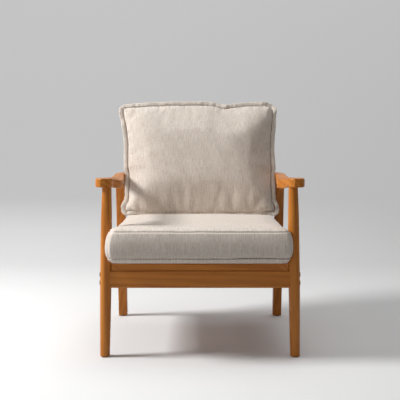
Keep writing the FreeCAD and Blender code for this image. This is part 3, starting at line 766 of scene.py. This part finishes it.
# Room for the cushion: between the arms, above them, and in front of the back frame
BETWEEN_ARMS_X = 0.2862
ARM_TOP_Z = 0.583
ABOVE_ARMS_X = 0.32
REAR_PART = -0.03
REAR_X = 0.2845
REAR_NARROWS_BY = 0.6
REAR_NARROWS_FROM_Y = 0.235
BACK_FRAME = 0.0234


def back_limits(item):
    """Keep the cushion clear of the arms, the rear legs, the back frame and the seat cushion."""
    for vert in item.data.vertices:
        co = vert.co
        up, back = back_place(co)
        limit = BETWEEN_ARMS_X
        if co.z > ARM_TOP_Z:
            limit = ABOVE_ARMS_X
        elif back > REAR_PART:
            limit = REAR_X - REAR_NARROWS_BY * max(0.0, co.y - REAR_NARROWS_FROM_Y)
        if abs(co.x) > limit:
            co.x = math.copysign(limit, co.x)
        if back > BACK_FRAME:
            vert.co -= LEAN_BACK * (back - BACK_FRAME)
        co.z = max(co.z, underside(co.x))


inflate(cushion, back_hold, back_cap)
# The front panel: slow and quick dents, upright pleats near its lower edge and slanting ones all over
SLOW_DENT = 0.0012
QUICK_DENT = 0.0008
LOW_PLEAT = 0.0024
SLANTED_PLEAT = 0.0012
for vert in cushion.data.vertices:
    co = vert.co
    up, back = back_place(co)
    if back < BORDER_BACK:
        dent = noise.noise(Vector((co.x * 6, co.z * 6, 1.3))) * SLOW_DENT
        dent += noise.noise(Vector((co.x * 15, co.z * 13, 7.1))) * QUICK_DENT
        low = 1 - smooth_step((up - 0.20) / 0.09)
        pleat = noise.noise(Vector((co.x * 46, co.z * 9, 3.3))) * LOW_PLEAT * low
        pleat += noise.noise(Vector((co.x * 24 + co.z * 9, co.z * 5, 8.8))) * SLANTED_PLEAT
        vert.co += LEAN_BACK * (dent + pleat) * smooth_step((BORDER_BACK - back) / 0.012)
subdivide(cushion)
back_limits(cushion)
press_seam(cushion, border_seam, depth=0.0022, width=0.0060, pucker=0.0022, reach=0.040)
press_seam(cushion, rear_seam, depth=0.0016, width=0.0050, pucker=0.0010, reach=0.022)
back_limits(cushion)
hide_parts("back_cushion_cover", "back_cushion_fill")
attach(cushion, "back_cushion")

# Border: a doubled strip of the same cloth sewn round the front, ruffled at the corners
STRIP_HALF_WIDTH = 0.0076
STRIP_HALF_THICKNESS = 0.0040
STRIP_SIDES = 18
# Its section is a rounded box with a groove in front: powers below 1 fill out the corners
ACROSS_POWER = 0.7
DEPTH_POWER = 0.8
GROOVE_DEPTH = 0.0009
GROOVE_WIDTH = 0.0014
GROOVE_OFFSET = 0.15
# It stands out of the outline and behind the border's plane by this much, and off the seat
STRIP_OUT = 0.0003
STRIP_BEHIND = 0.0008
STRIP_REST_GAP = 0.0003
# How far it ripples outwards, sways back and forth, twists in radians, and changes in width and thickness
SLOW_RIPPLE = 0.0016
QUICK_RIPPLE = 0.0006
SWAY = 0.0028
TWIST = 0.35
WIDTH_CHANGE = 0.10
THICKNESS_CHANGE = 0.25
# Between these rises the arms stand beside it, and it keeps within this half width
BESIDE_ARMS = (0.292, 0.345)
BESIDE_ARMS_X = 0.2876
# It is livelier within this distance of its corners and of the dip in its upper edge
CALM = 0.75
LIVELY_EXTRA = 1.5
LIVELY_REACH = 0.09
LIVELY_SPOTS =[(-0.300, 0.190), (0.298, 0.190), (-0.312, 0.600), (0.298, 0.600), (0.095, 0.606)]
LIVELY_SPOTS = [Vector((x, up, 0)) for x, up in LIVELY_SPOTS]
verts = []
count = len(border_loop)
for index, point in enumerate(border_loop):
    corner = max(0.0, 1 - min((point - spot).length for spot in LIVELY_SPOTS) / LIVELY_REACH)
    lively = CALM + LIVELY_EXTRA * smooth_step(corner)
    ripple = noise.noise(point * 42) * SLOW_RIPPLE * lively
    ripple += noise.noise(point * 95) * QUICK_RIPPLE * lively
    sway = noise.noise(point * 30 + Vector((3, 1, 5))) * SWAY * lively
    twist = noise.noise(point * 26 + Vector((9, 2, 1))) * TWIST * lively
    width = STRIP_HALF_WIDTH * (1 + WIDTH_CHANGE * noise.noise(point * 60 + Vector((4, 4, 4))))
    change = THICKNESS_CHANGE * noise.noise(point * 85 + Vector((2, 7, 3))) * lively
    thick = STRIP_HALF_THICKNESS * (1 + change)
    centre = point - outward[index] * (width - STRIP_OUT) + outward[index] * ripple
    for side in range(STRIP_SIDES):
        turn = 2 * math.pi * side / STRIP_SIDES
        out = math.copysign(abs(math.cos(turn)) ** ACROSS_POWER, math.cos(turn)) * width
        deep = math.copysign(abs(math.sin(turn)) ** DEPTH_POWER, math.sin(turn)) * thick
        groove = 0.0
        if deep < 0:
            groove = -GROOVE_DEPTH * math.exp(-((out - width * GROOVE_OFFSET) / GROOVE_WIDTH) ** 2)
        across = centre + outward[index] * (out * math.cos(twist))
        back = BORDER_BACK + STRIP_BEHIND + deep - groove + sway + out * math.sin(twist)
        up = max(across.y, resting_rise(back, across.x) + STRIP_REST_GAP)
        x = across.x
        if BESIDE_ARMS[0] < up < BESIDE_ARMS[1]:
            x = max(-BESIDE_ARMS_X, min(BESIDE_ARMS_X, x))
        verts.append(tuple(leaning(x, up, back)))
faces = []
for index in range(count):
    after = (index + 1) % count
    for side in range(STRIP_SIDES):
        beside = (side + 1) % STRIP_SIDES
        faces.append((index * STRIP_SIDES + side, index * STRIP_SIDES + beside,
                      after * STRIP_SIDES + beside, after * STRIP_SIDES + side))
strip = mesh_object("back_cushion_strip", verts, faces, cloth)
bm = bmesh.new()
bm.from_mesh(strip.data)
bmesh.ops.recalc_face_normals(bm, faces=bm.faces)
bm.to_mesh(strip.data)
bm.free()
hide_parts("back_cushion_border")
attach(strip, "back_cushion")

# Floor and backdrop: one pale sweep
FLOOR_SIZE = 9.0
BACK_Y = 3.2
CURVE_RADIUS = 1.6
CURVE_STEPS = 24
WALL_HEIGHT = 5.0
# Greys from the floor up the wall, as seen and as glowing, and the grey that other light meets
LEVELS = (0.1, 0.15, 0.22, 0.9)
PAPER_GREYS = (0.78, 0.66, 0.20, 0.10)
GLOW_GREYS = (0.05, 0.10, 0.36, 0.48)
BOUNCE_GREY = 0.52
LEVEL_PER_M = 0.4


def sweep():
    mesh = bpy.data.meshes.new("backdrop")
    profile = [(-FLOOR_SIZE, 0.0), (BACK_Y - CURVE_RADIUS, 0.0)]
    for step in range(1, CURVE_STEPS + 1):
        turn = math.radians(90 * step / CURVE_STEPS)
        y = BACK_Y - CURVE_RADIUS + CURVE_RADIUS * math.sin(turn)
        profile.append((y, CURVE_RADIUS * (1 - math.cos(turn))))
    profile.append((BACK_Y, WALL_HEIGHT))
    verts = [(x, y, z) for y, z in profile for x in (-FLOOR_SIZE, FLOOR_SIZE)]
    faces = [(2 * i, 2 * i + 1, 2 * i + 3, 2 * i + 2) for i in range(len(profile) - 1)]
    mesh.from_pydata(verts, [], faces)
    mesh.shade_smooth()
    item = bpy.data.objects.new("backdrop", mesh)
    scene.collection.objects.link(item)
    return item


backdrop = sweep()
material, tree, shader = new_material("backdrop_paper")
place = tree.nodes.new("ShaderNodeTexCoord").outputs["Object"]
split = tree.nodes.new("ShaderNodeSeparateXYZ")
tree.links.new(place, split.inputs[0])
seen = tree.nodes.new("ShaderNodeLightPath")
shown = sum_of(tree, "MAXIMUM", seen.outputs["Is Camera Ray"],
               sum_of(tree, "MAXIMUM", seen.outputs["Is Glossy Ray"], seen.outputs["Is Transmission Ray"]))
rise = sum_of(tree, "ADD", sum_of(tree, "MULTIPLY", split.outputs[2], LEVEL_PER_M), LEVELS[0])
paper = ramp(tree, rise, [(level, grey(value)) for level, value in zip(LEVELS, PAPER_GREYS)])
glow = ramp(tree, rise, [(level, grey(value)) for level, value in zip(LEVELS, GLOW_GREYS)])
tree.links.new(mixed(tree, "MIX", shown, grey(BOUNCE_GREY), paper.outputs[0]), shader.inputs["Base Color"])
tree.links.new(glow.outputs[0], shader.inputs["Emission Color"])
tree.links.new(shown, shader.inputs["Emission Strength"])
shader.inputs["Roughness"].default_value = 0.95
backdrop.data.materials.append(material)


# Lights: a key from the left, a soft overhead light, a weak fill and an even surround.
# Each has a name, a place, what it points at, the length of its sides and its watts
LAMPS = [
    ("key", (-2.7, -0.5, 2.37), (0.0, 0.0, 0.4), 0.8, 128),
    ("overhead", (0.5, 0.3, 3.2), (0.0, 0.0, 0.0), 2.5, 34),
    ("fill", (-1.6, -3.6, 1.1), (0.0, 0.0, 0.4), 2.5, 6),
]
SURROUND_STRENGTH = 0.16


def area(name, at, towards, side, power):
    data = bpy.data.lights.new(name, "AREA")
    data.shape = "RECTANGLE"
    data.size = side
    data.size_y = side
    data.energy = power
    lamp = bpy.data.objects.new(name, data)
    lamp.location = at
    lamp.rotation_euler = (Vector(towards) - Vector(at)).to_track_quat("-Z", "Y").to_euler()
    scene.collection.objects.link(lamp)


for lamp in LAMPS:
    area(*lamp)
world = bpy.data.worlds.new("surround")
world.use_nodes = True
world.node_tree.nodes["Background"].inputs["Color"].default_value = (1, 1, 1, 1)
world.node_tree.nodes["Background"].inputs["Strength"].default_value = SURROUND_STRENGTH
scene.world = world
